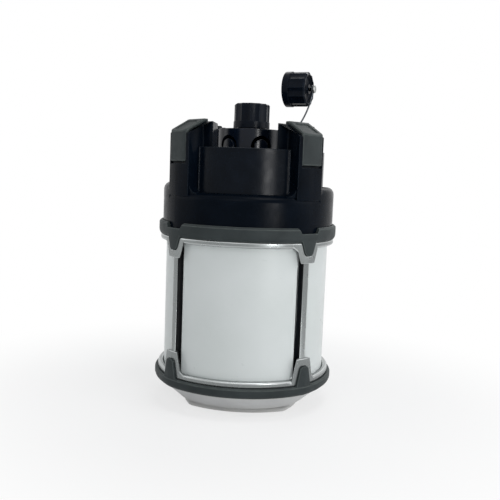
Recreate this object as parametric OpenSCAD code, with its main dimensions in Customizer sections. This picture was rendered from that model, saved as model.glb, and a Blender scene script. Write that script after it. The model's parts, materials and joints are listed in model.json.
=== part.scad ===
// Camping lantern: a squarish round body with four white light panels between two rubber
// bumpers, and a black crown whose four padded towers stand round a screw-capped port.
// Z is up, the front panel faces -Y, and the origin lies on the ground under the axis.

/* [Body] */
// Half-width of the silver cage, from the axis to the middle of a side
cage_hw = 61.1; // [58:0.1:66]
// How far past the axis each side's arc is centred; less makes the body rounder
side_offset = 7.6; // [6:0.2:10]
// Height of the light grey base under the lower bumper
base_h = 16.4; // [15:0.2:24]
// Height of the lower bumper between its claws
lower_bumper_h = 6.9; // [6:0.2:12]
// Height of each silver band
band_h = 4; // [3:0.1:6]
// Height of the window between the two silver bands
window_h = 87; // [85:1:120]
// Height of the upper bumper between its claws
upper_bumper_h = 9.4; // [8:0.2:14]

/* [Base] */
// Ratio of the flat underside's half-width to the cage's
foot_ratio = 0.679; // [0.64:0.001:0.72]
// How far past the axis each side's arc of the underside is centred
foot_offset = 25; // [15:1:35]
// How far the underside's rounded corners reach past its sides
foot_corner = 4.5; // [3:0.5:6]
// Height of the straight lower tier
foot_h = 5; // [4:0.5:7]
// Ratio of the half-width where the upper tier starts to flare to the cage's
flare_ratio = 0.7855; // [0.76:0.0005:0.83]
// Wall thickness of the base tray
base_wall = 2.4; // [1.6:0.2:4]
// Diameter of each rubber foot
foot_pad_d = 10; // [8:0.5:14]
// Height of each rubber foot below the base
foot_pad_proud = 0.6; // [0.4:0.1:1.5]
// Depth of the pocket that each foot is glued into
foot_pad_sunk = 1.2; // [0.8:0.1:1.6]

/* [Bumpers and cage] */
// How far the lower bumper stands out past the cage
lower_proud = 2.2; // [1.5:0.1:4]
// How far the upper bumper stands out past the cage
upper_proud = 1.4; // [1:0.1:3]
// Depth that the rubber claws are let into the cage
claw_sunk = 1.2; // [0.8:0.1:1.6]
// Height of the lower claws above the lower bumper
lower_claw_h = 13; // [9:0.5:18]
// Depth of the upper claws below the upper bumper
upper_claw_h = 8.7; // [6:0.1:14]
// Width of a claw where it leaves its bumper
claw_root_w = 13.6; // [11:0.2:16]
// Width of a claw at its tip
claw_tip_w = 7.2; // [5:0.2:9]
// Size of the cut corners of a claw's tip
claw_tip_cut = 1.6; // [0.8:0.1:2.4]
// Height of the silver border beyond a claw's tip
claw_border = 5; // [3:0.2:7]
// Thickness of the cage wall
cage_wall = 3.7; // [3:0.1:4.5]
// How far the corner posts stand back from the bands
post_setback = 1.8; // [1:0.1:2]
// Distance from a corner of the cage to the window's edge at the bands
band_edge_w = 7.6; // [6.8:0.1:9]
// Distance from a corner of the cage to the window's edge at the claws' ends
claw_edge_w = 4.8; // [4.2:0.1:5.4]
// Distance from a corner of the cage to the window's edge between the posts
post_edge_w = 3.2; // [2:0.1:3.6]
// Width of the notch that each crown tab drops into, at the bumper's top edge
notch_top_w = 18.2; // [15:0.2:20]
// Width of the notch at its bottom
notch_bottom_w = 14.2; // [11:0.2:15]
// Depth of the notch
notch_h = 3.5; // [2:0.1:5]

/* [Crown] */
// How far the crown stands back from the cage
crown_setback = 1.2; // [0.4:0.1:1.4]
// Height of the crown's low walls above the upper bumper
low_wall_h = 20.2; // [16:0.5:28]
// Radius of the rounded top edge of the low walls
low_wall_round = 5; // [3:0.5:7]
// How far the lips of the left and right low walls rise above the front one
side_lip_h = 6; // [3:0.5:8]
// Thickness of the left and right lips
side_lip_t = 3.5; // [2.5:0.1:4]
// Radius of the fillets between the front and rear low walls and the towers
tower_fillet_r = 5; // [3:0.5:6]
// Wall thickness of the crown housing
crown_wall = 2.6; // [2:0.1:3]
// Height of the towers above the low walls
tower_h = 46.4; // [40:0.2:60]
// Angle of the open gap between the towers at the front and rear
front_gap_angle = 71; // [66:0.5:74]
// Angle of the open gap between the towers at the left and right
side_gap_angle = 67; // [62:0.5:74]
// Width of the cross-shaped channel between the towers' inner blocks
channel_w = 42; // [38:0.5:46]
// Ratio of the radius of the curved wall panels in the gaps to the cage's half-width
panel_ratio = 0.851; // [0.82:0.001:0.88]
// Thickness of the curved wall panels
panel_t = 2.5; // [2:0.1:3.5]
// Height of the curved wall panels above the low walls
panel_h = 29.8; // [24:0.5:36]
// Height of the inner deck above the low walls
deck_h = 19.3; // [15:0.1:22]

/* [Tower pads] */
// Width of each rubber pad from the tower's middle towards the front or rear gap
pad_front_w = 7.3; // [5:0.1:7.6]
// Width of each rubber pad from the tower's middle towards the side gap
pad_side_w = 11; // [8:0.1:11.2]
// Width of the bevelled facet along each upright edge of a pad
pad_facet_w = 3.4; // [2:0.1:4]
// How far the bevelled facets of a pad fall back
pad_facet_back = 1.5; // [0.8:0.1:2]
// Depth of the shallow recess in the sloping part of a pad
pad_recess_h = 0.6; // [0.3:0.1:1]
// Border round the recess
pad_recess_edge = 2.6; // [2:0.1:3.5]
// Thickness of each rubber pad
pad_t = 3; // [2.4:0.1:4]
// How far the pads rise above the towers' tops
pad_proud = 2; // [1:0.1:2.2]
// Length of the upright part of a pad
pad_face_h = 20; // [14:0.5:28]
// Horizontal run of the sloping part of a pad
pad_slope_run = 15; // [10:0.5:18]
// Rise of the sloping part of a pad
pad_slope_rise = 8.5; // [6:0.5:12]
// Height of the dark gap left under each pad
pad_foot_gap = 1.5; // [0.5:0.1:2.5]
// Length of the flat top of a pad
pad_top_len = 3; // [2:0.5:8]

/* [Turret and ports] */
// Ratio of the turret's outer radius to the cage's half-width
turret_ratio = 0.3846; // [0.36:0.0002:0.39]
// Height of the turret above the deck
turret_h = 24.5; // [22:0.5:32]
// Wall thickness of the turret
turret_wall = 2.4; // [1.6:0.2:3]
// Ratio of the radius of the drum behind the turret's slots to the cage's half-width
drum_ratio = 0.2373; // [0.22:0.0001:0.24]
// Number of arched slots round the turret
arch_count = 6; // [4:1:8]
// Width across the outside of each arched slot
arch_w = 14; // [11:0.5:15.5]
// Width of the slot itself, round the tongue that stands in it
arch_slot_w = 2.2; // [1.5:0.1:3]
// Distance from the turret's top to the crown of an arch
arch_drop = 4.9; // [3.5:0.1:8]
// Angle that the turret is turned by about its axis
turret_turn = 23; // [0:0.5:60]
// Outer diameter of each port neck
neck_d = 18.9; // [16:0.1:20]
// Bore of each port neck
neck_bore = 14; // [12:0.1:15]
// Length of the middle neck above the turret
neck_rise = 11.5; // [8:0.5:14]
// Height of the open side neck above the deck
side_neck_h = 10.2; // [8:0.1:12]
// Ratio of the side port's distance from the axis to the cage's half-width
side_port_ratio = 0.5974; // [0.59:0.0002:0.605]
// Height of the metal sockets in the necks
socket_h = 5; // [3:0.5:8]

/* [Caps] */
// Diameter of a screw cap's round rim
cap_d = 25.5; // [25:0.1:25.8]
// Width of a screw cap's grip across its corners
cap_grip_d = 24.9; // [24:0.1:25]
// Height of a screw cap
cap_h = 17; // [14:0.5:22]
// Number of grip facets round a cap
cap_facets = 12; // [8:1:12]
// Height of the round rim at a cap's mouth
cap_rim_h = 4.6; // [3:0.2:6]
// Depth of the dish in a cap's closed end
cap_dish_h = 2.6; // [1:0.1:3]
// Gap between the turret and the closed cap
cap_gap = 1.1; // [0.6:0.1:2]
// Thickness of the rubber seal ring in each cap
seal_t = 1.6; // [1:0.1:2.4]

/* [Tether] */
// Diameter of the spring-steel tether wire
wire_d = 1.2; // [0.8:0.1:1.6]
// Radius of the tether's bend
wire_bend_r = 60; // [50:1:80]
// Angle from upright of the wire at the loose cap
wire_top_lean = 8; // [4:1:14]
// Angle from upright of the wire at its anchor
wire_foot_lean = 42; // [36:1:46]
// Distance from the axis to the anchor screw
anchor_x = 25.2; // [24.8:0.1:27]
// Height of the anchor screw above the deck
anchor_h = 20.6; // [16:0.1:22.5]
// Angle that the loose cap's axis is turned towards the front
loose_cap_turn = 18; // [0:1:24]
// Diameter of the rivet that holds the loose cap
rivet_d = 2.8; // [2:0.1:3]

/* [Light engine] */
// Thickness of the white light panels
diffuser_t = 2.5; // [2:0.1:3]
// Distance from a corner of the cage to the light panels' upright edges
diffuser_edge_w = 6.6; // [6.2:0.1:7]
// Width of the square aluminium core
core_w = 44; // [42:0.5:48]
// Wall thickness of the aluminium core
core_wall = 2.4; // [1.6:0.1:2.6]
// Width of each lamp board
board_w = 36; // [30:1:40]
// Thickness of the circuit boards
board_t = 1.6; // [1:0.1:2]
// Diameter of a battery cell
cell_d = 18.3; // [18:0.1:18.5]
// Length of a battery cell
cell_l = 65; // [60:1:70]
// Thickness of the plates above and below the light engine
plate_t = 2.6; // [2:0.1:4]

/* [Fasteners and switch] */
// Distance between two screw columns, along a side
boss_pitch = 52; // [51:0.5:54]
// Diameter of the case screws
screw_d = 3; // [2.5:0.1:3.5]
// Diameter of the case screws' heads
screw_head_d = 5.5; // [5:0.1:6]
// Diameter of the power button at the rear
button_d = 12; // [9:0.5:12]
// Travel of the power button
button_travel = 1.2; // [0.6:0.1:2]

/* [Fits] */
// Clearance round pieces that slide, turn or drop into place
fit_gap = 0.3; // [0.2:0.05:0.4]
// Clearance under pieces that are pressed or glued into a seat
seat_gap = 0.1; // [0.05:0.05:0.2]

/* [Hidden] */
$fn = 96;

// Levels of the stack
z_under = foot_pad_proud;
z_cage = base_h + lower_bumper_h;
z_window = z_cage + band_h;
z_window_top = z_window + window_h;
z_cage_top = z_window_top + band_h;
z_bumper_top = z_cage_top + upper_bumper_h;
z_low_wall = z_bumper_top + low_wall_h;
z_ledge = z_low_wall - crown_wall;
z_tower = z_low_wall + tower_h;
z_deck = z_low_wall + deck_h;
z_pad = z_tower + pad_proud;
z_pad_shoulder = z_pad - pad_slope_rise;
z_turret = z_deck + turret_h;
z_neck = z_turret + neck_rise;
z_cap = z_turret + cap_gap;
z_plate_in = z_cage + plate_t;
z_plate_out = z_cage_top - plate_t;
z_claw_low = z_cage + lower_claw_h + claw_border;
z_claw_high = z_cage_top - upper_claw_h - claw_border;

// Half-widths of the layers at a side, from the outside in
crown_hw = cage_hw - crown_setback;
seat_hw = cage_hw - claw_sunk;
bumper_in_hw = seat_hw + seat_gap;
cage_in_hw = cage_hw - cage_wall;
crown_in_hw = seat_hw - crown_wall + seat_gap;
diffuser_out_hw = cage_in_hw - fit_gap;
diffuser_in_hw = diffuser_out_hw - diffuser_t;
plate_hw = diffuser_in_hw - fit_gap;
liner_hw = diffuser_out_hw - post_setback;
rim_hw = seat_hw;
claw_root_h = 2;
foot_hw = foot_ratio * cage_hw;
flare_hw = flare_ratio * cage_hw;
foot_corner_r = foot_hw + foot_corner;

// Distance from the axis to the corner of a squarish layer, along x and along y
function corner_x(half_w) = (sqrt(2 * pow(half_w + side_offset, 2) - pow(side_offset, 2)) - side_offset) / 2;
cage_corner_x = corner_x(cage_hw);
window_band_hw = cage_corner_x - band_edge_w;
window_claw_hw = cage_corner_x - claw_edge_w;
window_post_hw = cage_corner_x - post_edge_w;
diffuser_hw = cage_corner_x - diffuser_edge_w;

// Radii inside the crown
panel_r = panel_ratio * cage_hw;
turret_r = turret_ratio * cage_hw;
drum_r = drum_ratio * cage_hw;
side_port_x = side_port_ratio * cage_hw;
panel_rib_h = 0.7;
tower_fillet_back = 1.5;
panel_in_r = panel_r - panel_t;
block_r = panel_in_r - fit_gap;
reach = 2 * cage_hw;
span = 4 * cage_hw;

// Pad profile in the diagonal plane of a tower
pad_sunk = 0.4;
pad_d = corner_x(crown_hw) * sqrt(2) - pad_sunk;
pad_slope = atan2(pad_slope_rise, pad_slope_run);
pad_slope_d = pad_d - pad_slope_run;
pad_end_d = pad_slope_d - pad_top_len;
pad_slope_len = norm([pad_slope_run, pad_slope_rise]);

// Cap interior
cap_bore = neck_d + 2 * fit_gap;
cap_seal_z = z_neck - z_cap;
cap_room = cap_seal_z + seal_t + seat_gap;
cap_boss_d = 7;
cap_dish_d = 20;

// Tether: the wire is an arc from the anchor eye up to the rivet eye
eye_r = (rivet_d + wire_d) / 2 + fit_gap;
anchor_eye_r = (screw_d + wire_d) / 2 + fit_gap;
tether_y = channel_w / 2 - fit_gap - wire_d / 2;
z_anchor = z_deck + anchor_h;
wire_foot = [anchor_x + anchor_eye_r * sin(wire_foot_lean), z_anchor + anchor_eye_r * cos(wire_foot_lean)];
bend_centre = wire_foot + wire_bend_r * [-cos(wire_foot_lean), sin(wire_foot_lean)];
wire_top = bend_centre + wire_bend_r * [cos(wire_top_lean), -sin(wire_top_lean)];
z_rivet = wire_top.y + eye_r;
rivet_stand = 2.6;

// Fastener and switch places
boss = boss_pitch / 2;
boss_d = screw_d + 5;
boss_wall = 2;
screw_cover = 0.5;
screw_bite = 5;
crown_screw_bite = 14;
crown_screw_room = 4;
anchor_screw_bite = 8;
z_base_screw = z_under + foot_pad_sunk + screw_head_d / 2 + screw_cover;
board_stand = 6;
z_board = z_cage_top + plate_t + board_stand;
button_z = z_bumper_top + low_wall_h / 2;
button_proud = 0.8;
button_face_y = crown_hw + button_proud;
button_flange_d = button_d + 2;
button_flange_t = 1.6;
button_wall_y = sqrt(pow(crown_in_hw + side_offset, 2) - pow(button_flange_d / 2, 2)) - side_offset;
button_end_y = button_wall_y - fit_gap - button_flange_t;
switch_back = 6;
switch_y = plate_hw - switch_back;

// Turret and battery places
turret_flange_h = 2;
turret_screw_r = (turret_r - turret_wall + drum_r) / 2;
cell_x = cell_d / 2 + 2 * seat_gap;
z_cells = (z_plate_in + z_plate_out - cell_l) / 2;
cell_grip = 4;

// Outline of the body at one half-width: four bulged sides that meet in soft corners
module outline(half_w, centre_d = side_offset) {
    intersection_for (turn = [0 : 90 : 270])
        rotate(turn)
            translate([0, centre_d])
                circle(r = half_w + centre_d);
}

module layer(half_w, z, h) {
    translate([0, 0, z])
        linear_extrude(h)
            outline(half_w);
}

module ring(outer_hw, inner_hw, z, h) {
    translate([0, 0, z])
        linear_extrude(h)
            difference() {
                outline(outer_hw);
                outline(inner_hw);
            }
}

// Solid whose four sides all have the given profile of half-widths and heights
module turned(profile) {
    first = profile[0];
    last = profile[len(profile) - 1];
    radii = [for (p = profile) [p.x + side_offset, p.y]];
    intersection_for (turn = [0 : 90 : 270])
        rotate([0, 0, turn])
            translate([0, side_offset, 0])
                rotate_extrude()
                    polygon(concat([[0, first.y]], radii, [[0, last.y]]));
}

module each_corner() {
    for (turn = [45 : 90 : 315])
        rotate([0, 0, turn])
            children();
}

module each_boss() {
    for (x = [-boss, boss], y = [-boss, boss])
        translate([x, y, 0])
            children();
}

// Prism along a corner's diagonal, from widths across it and heights
module corner_prism(points) {
    each_corner()
        rotate([90, 0, 90])
            linear_extrude(reach)
                polygon(points);
}

function tapered(root_w, tip_w, z_root, z_tip, grow, cut = 0) =
    let (z_cut = z_tip - sign(z_tip - z_root) * cut)
    [[-root_w / 2 - grow, z_root], [root_w / 2 + grow, z_root], [tip_w / 2 + grow, z_cut],
     [tip_w / 2 + grow - cut, z_tip], [cut - tip_w / 2 - grow, z_tip], [-tip_w / 2 - grow, z_cut]];

module lower_claws(outer_hw, inner_hw, grow) {
    tip = z_cage + lower_claw_h + grow;
    root = z_cage - claw_root_h;
    intersection() {
        ring(outer_hw, inner_hw, root, tip - root);
        corner_prism(tapered(claw_root_w, claw_tip_w, root, tip, grow, claw_tip_cut));
    }
}

module upper_claws(outer_hw, inner_hw, grow) {
    tip = z_cage_top - upper_claw_h - grow;
    root = z_cage_top + claw_root_h;
    intersection() {
        ring(outer_hw, inner_hw, tip, root - tip);
        corner_prism(tapered(claw_root_w, claw_tip_w, root, tip, grow, claw_tip_cut));
    }
}

module notches(grow) {
    corner_prism(tapered(notch_top_w, notch_bottom_w, z_bumper_top + grow, z_bumper_top - notch_h - grow, grow, fit_gap));
}

module case_screw(z, length) {
    translate([0, 0, z])
        cylinder(d = screw_d, h = length);
    translate([0, 0, z - screw_head_d / 2])
        cylinder(d = screw_head_d, h = screw_head_d / 2);
}

// Light grey base tray: a squarish foot tier, a flared upper tier and a rim inside the lower bumper
module base_cover() {
    step = 1.6;
    edge = 1.2;
    flare_top_hw = rim_hw - step;
    color("lightgrey")
        difference() {
            union() {
                difference() {
                    union() {
                        translate([0, 0, z_under])
                            linear_extrude(foot_h + edge - z_under)
                                intersection() {
                                    outline(foot_hw, foot_offset);
                                    circle(r = foot_corner_r);
                                }
                        turned([[flare_hw - edge, foot_h], [flare_hw, foot_h + edge], [flare_top_hw, base_h - edge],
                            [flare_top_hw, base_h], [rim_hw, base_h], [rim_hw, z_cage]]);
                    }
                    layer(flare_hw - base_wall, foot_h + base_wall, base_h - foot_h - base_wall);
                    layer(rim_hw - 2 * base_wall, base_h - base_wall, span);
                    translate([0, 0, z_under + base_wall])
                        linear_extrude(foot_h)
                            outline(foot_hw - base_wall, foot_offset);
                }
                intersection() {
                    each_boss()
                        translate([0, 0, z_under])
                            cylinder(d = foot_pad_d + 2 * boss_wall, h = z_cage - z_under);
                    cylinder(r = foot_corner_r - base_wall / 4, h = span);
                }
            }
            each_boss() {
                translate([0, 0, -1])
                    cylinder(d = foot_pad_d + 2 * seat_gap, h = z_under + foot_pad_sunk + 1);
                cylinder(d = screw_head_d + 2 * fit_gap, h = z_base_screw);
                cylinder(d = screw_d + 2 * fit_gap, h = span);
            }
        }
}

// Rubber feet glued over the base screws
module foot_pads() {
    color("dimgrey")
        each_boss()
            cylinder(d = foot_pad_d, h = foot_pad_proud + foot_pad_sunk - seat_gap);
}

// Screws that pull the base up against the chassis
module base_screws() {
    color("silver")
        each_boss()
            case_screw(z_base_screw, z_cage + plate_t + screw_bite / 2 - z_base_screw);
}

// Lower rubber bumper with a claw that climbs each corner of the cage
module lower_bumper() {
    out = cage_hw + lower_proud;
    tuck = 2.2;
    belly = 3;
    edge = 0.8;
    claw_drop = 0.6;
    color("dimgrey")
        union() {
            difference() {
                turned([[out - tuck, base_h], [out - tuck / 4, base_h + belly / 2], [out, base_h + belly],
                    [out, z_cage - edge], [out - edge, z_cage]]);
                layer(bumper_in_hw, 0, span);
            }
            lower_claws(out - claw_drop, bumper_in_hw, 0);
        }
}

// Silver cage: two bands, four corner posts and the borders round the rubber claws
module cage() {
    edge = 0.7;
    color("silver")
        difference() {
            turned([[cage_hw - edge, z_cage], [cage_hw, z_cage + edge], [cage_hw, z_cage_top - edge],
                [cage_hw - edge, z_cage_top]]);
            layer(cage_in_hw, 0, span);
            for (turn = [0, 90])
                rotate([0, 0, turn])
                    rotate([90, 0, 0])
                        linear_extrude(span, center = true)
                            window();
            ring(cage_hw + edge, cage_hw - post_setback, z_claw_low, z_claw_high - z_claw_low);
            lower_claws(cage_hw + edge, seat_hw, seat_gap);
            upper_claws(cage_hw + edge, seat_hw, seat_gap);
        }
}

module window() {
    right = [[window_band_hw, z_window], [window_claw_hw, z_claw_low], [window_post_hw, z_claw_low],
        [window_post_hw, z_claw_high], [window_claw_hw, z_claw_high], [window_band_hw, z_window_top]];
    left = [for (i = [len(right) - 1 : -1 : 0]) [-right[i].x, right[i].y]];
    polygon(concat(right, left));
}

// Curved white light panel behind one window, held between the bands and the chassis plates
module diffuser(turn) {
    rotate([0, 0, turn])
        translate([0, 0, z_cage + fit_gap])
            linear_extrude(z_cage_top - z_cage - 2 * fit_gap)
                intersection() {
                    difference() {
                        outline(diffuser_out_hw);
                        outline(diffuser_in_hw);
                    }
                    translate([-diffuser_hw, -reach])
                        square([2 * diffuser_hw, reach]);
                }
}

module diffuser_front() color("white") diffuser(0);
module diffuser_right() color("white") diffuser(90);
module diffuser_rear() color("white") diffuser(180);
module diffuser_left() color("white") diffuser(270);

// Black inner frame: a plate below and above the light engine and a liner post in each corner
module chassis() {
    liner_in = diffuser_hw + fit_gap;
    color("black")
        difference() {
            union() {
                layer(plate_hw, z_cage, plate_t);
                layer(plate_hw, z_plate_out, plate_t);
                translate([0, 0, z_cage])
                    linear_extrude(z_cage_top - z_cage)
                        intersection() {
                            outline(liner_hw);
                            for (x = [-1, 1], y = [-1, 1])
                                scale([x, y])
                                    translate([liner_in, liner_in])
                                        square(reach);
                        }
                each_boss()
                    translate([0, 0, z_cage])
                        cylinder(d = boss_d, h = plate_t + screw_bite);
            }
            each_boss() {
                translate([0, 0, z_cage - 1])
                    cylinder(d = screw_d + 2 * seat_gap, h = plate_t + screw_bite + 2);
                translate([0, 0, z_plate_out - 1])
                    cylinder(d = screw_d + 2 * fit_gap, h = plate_t + 2);
            }
            translate([0, 0, z_plate_out - 1])
                cylinder(d = core_w / 4, h = plate_t + 2);
        }
}

// Aluminium core that carries the lamp boards and holds the battery
module light_core() {
    color("gainsboro")
        translate([0, 0, z_plate_in])
            linear_extrude(z_plate_out - z_plate_in)
                difference() {
                    square(core_w, center = true);
                    square(core_w - 2 * core_wall, center = true);
                }
}

// Lamp board with two columns of light-emitting chips, screwed flat to one face of the core
module lamp_board(turn) {
    margin = 4;
    chip = 3.5;
    rows = 7;
    h = z_plate_out - z_plate_in - 2 * margin;
    pitch = h / rows;
    rotate([0, 0, turn])
        translate([0, -core_w / 2, z_plate_in + margin])
            union() {
                translate([-board_w / 2, -board_t, 0])
                    cube([board_w, board_t, h]);
                for (side = [-1, 1], row = [0.5 : 1 : rows])
                    translate([side * board_w / 4 - chip / 2, -board_t - 0.8, row * pitch - chip / 2])
                        cube([chip, 0.9, chip]);
            }
}

module lamp_board_front() color("ivory") lamp_board(0);
module lamp_board_right() color("ivory") lamp_board(90);
module lamp_board_rear() color("ivory") lamp_board(180);
module lamp_board_left() color("ivory") lamp_board(270);

module each_cell() {
    for (x = [-cell_x, cell_x], y = [-cell_x, cell_x])
        translate([x, y, z_cells])
            children();
}

// Four lithium cells upright in the core
module battery_cells() {
    color("steelblue")
        each_cell()
            union() {
                cylinder(d = cell_d, h = cell_l - 1);
                translate([0, 0, cell_l - 1])
                    cylinder(d = cell_d / 3, h = 1);
            }
}

// Cell holder that fills the core's end between a plate and the cells
module cell_holder(z, h) {
    w = core_w - 2 * core_wall - 2 * fit_gap;
    difference() {
        translate([-w / 2, -w / 2, z])
            cube([w, w, h]);
        each_cell()
            cylinder(d = cell_d + 2 * seat_gap, h = cell_l);
    }
}

module cell_holder_lower() color("darkslategrey") cell_holder(z_plate_in, z_cells + cell_grip - z_plate_in);
module cell_holder_upper() {
    z = z_cells + cell_l - cell_grip;
    color("darkslategrey")
        cell_holder(z, z_plate_out - z);
}

// Plate that closes the crown from below and carries the driver board on four pillars
module crown_floor() {
    color("black")
        difference() {
            union() {
                layer(crown_in_hw - fit_gap, z_cage_top, plate_t);
                for (turn = [0 : 90 : 270])
                    rotate([0, 0, turn])
                        translate([boss, 0, z_cage_top])
                            cylinder(d = boss_d, h = z_board - z_cage_top);
            }
            each_boss()
                cylinder(d = screw_d + 2 * fit_gap, h = span);
            cylinder(d = core_w / 4, h = span);
        }
}

// Driver and charging board with its inductor, capacitors and connector
module driver_board() {
    inductor = [14, 14, 8];
    inductor_at = [-16, -14];
    connector = [12, 6, 6];
    connector_at = [-8, 12];
    capacitor_d = 8;
    capacitor_h = 11;
    capacitors_at = [[12, -8], [12, 6]];
    margin = 3;
    sink = 0.1;
    color("darkgreen")
        union() {
            difference() {
                layer(plate_hw - margin, z_board, board_t);
                each_boss()
                    cylinder(d = boss_d + 4 * fit_gap, h = span);
            }
            translate([0, 0, z_board + board_t - sink]) {
                translate(inductor_at)
                    cube(inductor);
                for (at = capacitors_at)
                    translate(at)
                        cylinder(d = capacitor_d, h = capacitor_h);
                translate(connector_at)
                    cube(connector);
            }
        }
}

// Screws that pull the crown down onto the chassis
module crown_screws() {
    color("silver")
        each_boss()
            case_screw(z_plate_out, 2 * plate_t + crown_screw_bite);
}

// Upper rubber bumper with claws down the cage's corners and notches for the crown's tabs
module upper_bumper() {
    out = cage_hw + upper_proud;
    tuck = 1;
    belly = 3;
    edge = 1.2;
    claw_drop = 0.4;
    color("dimgrey")
        union() {
            difference() {
                turned([[out - tuck, z_cage_top], [out - tuck / 4, z_cage_top + belly / 2],
                    [out, z_cage_top + belly], [out, z_bumper_top - edge], [out - edge, z_bumper_top]]);
                layer(bumper_in_hw, 0, span);
                notches(seat_gap);
            }
            upper_claws(out - claw_drop, bumper_in_hw, 0);
        }
}

// Plan of the four towers: a wedge at each outer corner and a block inside the wall panels
module tower_plan(wall) {
    half_front = front_gap_angle / 2;
    half_side = side_gap_angle / 2;
    block_x = channel_w / 2 + wall;
    for (x = [-1, 1], y = [-1, 1])
        scale([x, y]) {
            intersection() {
                outline(crown_hw - 2 * wall);
                translate([1.4 * wall, 1.4 * wall])
                    polygon([[0, 0], reach * [sin(half_front), cos(half_front)], reach * [1, 1],
                        reach * [cos(half_side), sin(half_side)]]);
                translate([block_x, block_x])
                    square(reach);
            }
            intersection() {
                circle(r = block_r - wall);
                translate([block_x, block_x])
                    square(reach);
            }
        }
}

// Everything outside a tower's top: the sloped corner and the flat above it
module tower_top_cut() {
    drop = pad_proud;
    slope_d = pad_slope_d - drop * (1 - cos(pad_slope)) / sin(pad_slope);
    each_corner()
        rotate([90, 0, 0])
            linear_extrude(span, center = true)
                polygon([[slope_d, z_tower], [slope_d + reach, z_tower - reach * tan(pad_slope)],
                    [slope_d + reach, z_tower + reach], [slope_d, z_tower + reach]]);
}

function pad_profile(foot_gap) =
    let (
        shoulder_in = z_pad_shoulder - pad_t * (1 - sin(pad_slope)) / cos(pad_slope),
        slope_in = pad_slope_d - pad_t * (1 - cos(pad_slope)) / sin(pad_slope)
    )
    [[pad_d, z_pad_shoulder - pad_face_h - foot_gap], [pad_d, z_pad_shoulder], [pad_slope_d, z_pad],
     [pad_end_d, z_pad], [pad_end_d, z_pad - pad_t], [slope_in, z_pad - pad_t],
     [pad_d - pad_t, shoulder_in], [pad_d - pad_t, z_pad_shoulder - pad_face_h - foot_gap]];

// Strip across a tower, from the pad's front edge to its side edge
module pad_strip(grow) {
    translate([0, (pad_side_w - pad_front_w) / 2, 0])
        rotate([90, 0, 0])
            linear_extrude(pad_front_w + pad_side_w + 2 * grow, center = true)
                children();
}

// Rubber pad folded over one tower's outer face, slope and top
module pad() {
    bevel_d = pad_d - pad_facet_back;
    recess_len = pad_slope_len - 2 * pad_recess_edge;
    recess_w = pad_front_w + pad_side_w - 2 * pad_facet_w;
    rotate([0, 0, -45])
        difference() {
            intersection() {
                pad_strip(0)
                    polygon(pad_profile(0));
                linear_extrude(span)
                    polygon([[0, -pad_front_w], [bevel_d, -pad_front_w], [pad_d, pad_facet_w - pad_front_w],
                        [pad_d, pad_side_w - pad_facet_w], [bevel_d, pad_side_w], [0, pad_side_w]]);
            }
            translate([pad_slope_d, 0, z_pad])
                rotate([0, pad_slope, 0])
                    translate([pad_recess_edge, pad_facet_w - pad_front_w, -pad_recess_h])
                        cube([recess_len, recess_w, pad_t]);
        }
}

module pad_front_right() color("dimgrey") pad();
module pad_rear_right() color("dimgrey") scale([1, -1, 1]) pad();
module pad_rear_left() color("dimgrey") scale([-1, -1, 1]) pad();
module pad_front_left() color("dimgrey") scale([-1, 1, 1]) pad();

// Pocket that each pad is glued into, open to the outside
module pad_pockets() {
    profile = pad_profile(pad_foot_gap);
    seat = [for (i = [4 : 7]) profile[i]];
    for (x = [-1, 1], y = [-1, 1])
        scale([x, y, 1])
            rotate([0, 0, -45])
                pad_strip(seat_gap)
                    polygon(concat([[pad_d + reach, profile[0].y], [pad_d + reach, z_pad + reach],
                        [pad_end_d, z_pad + reach]], seat));
}

function rounded_edge(z) =
    [for (a = [0 : 22.5 : 90]) [crown_hw - low_wall_round * (1 - cos(a)), z - low_wall_round * (1 - sin(a))]];

// Raised lips of the left and right low walls, which hide a slot in front of the side panels
module side_lips() {
    half = side_gap_angle / 2 + 1;
    intersection() {
        difference() {
            turned(concat([[crown_hw, z_low_wall - low_wall_round]], rounded_edge(z_low_wall + side_lip_h)));
            layer(crown_hw - side_lip_t, 0, span);
        }
        linear_extrude(span)
            for (turn = [0, 180])
                rotate(turn)
                    polygon([[0, 0], reach * [cos(half), -sin(half)], reach * [1, 0], reach * [cos(half), sin(half)]]);
    }
}

// Fillets between the towers' upright edges and the front and rear low walls
module tower_fillets() {
    r = tower_fillet_r;
    edge = 90 - front_gap_angle / 2;
    intersection() {
        for (x = [-1, 1], y = [-1, 1])
            scale([x, y, 1])
                rotate([0, 0, edge])
                    translate([0, 0, z_low_wall])
                        rotate([90, 0, 90])
                            linear_extrude(reach)
                                difference() {
                                    translate([-1, -1])
                                        square(r + 1);
                                    translate([r, r])
                                        circle(r = r);
                                }
        linear_extrude(span)
            difference() {
                outline(crown_hw - tower_fillet_back);
                circle(r = panel_r + panel_rib_h + fit_gap);
            }
    }
}

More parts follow.
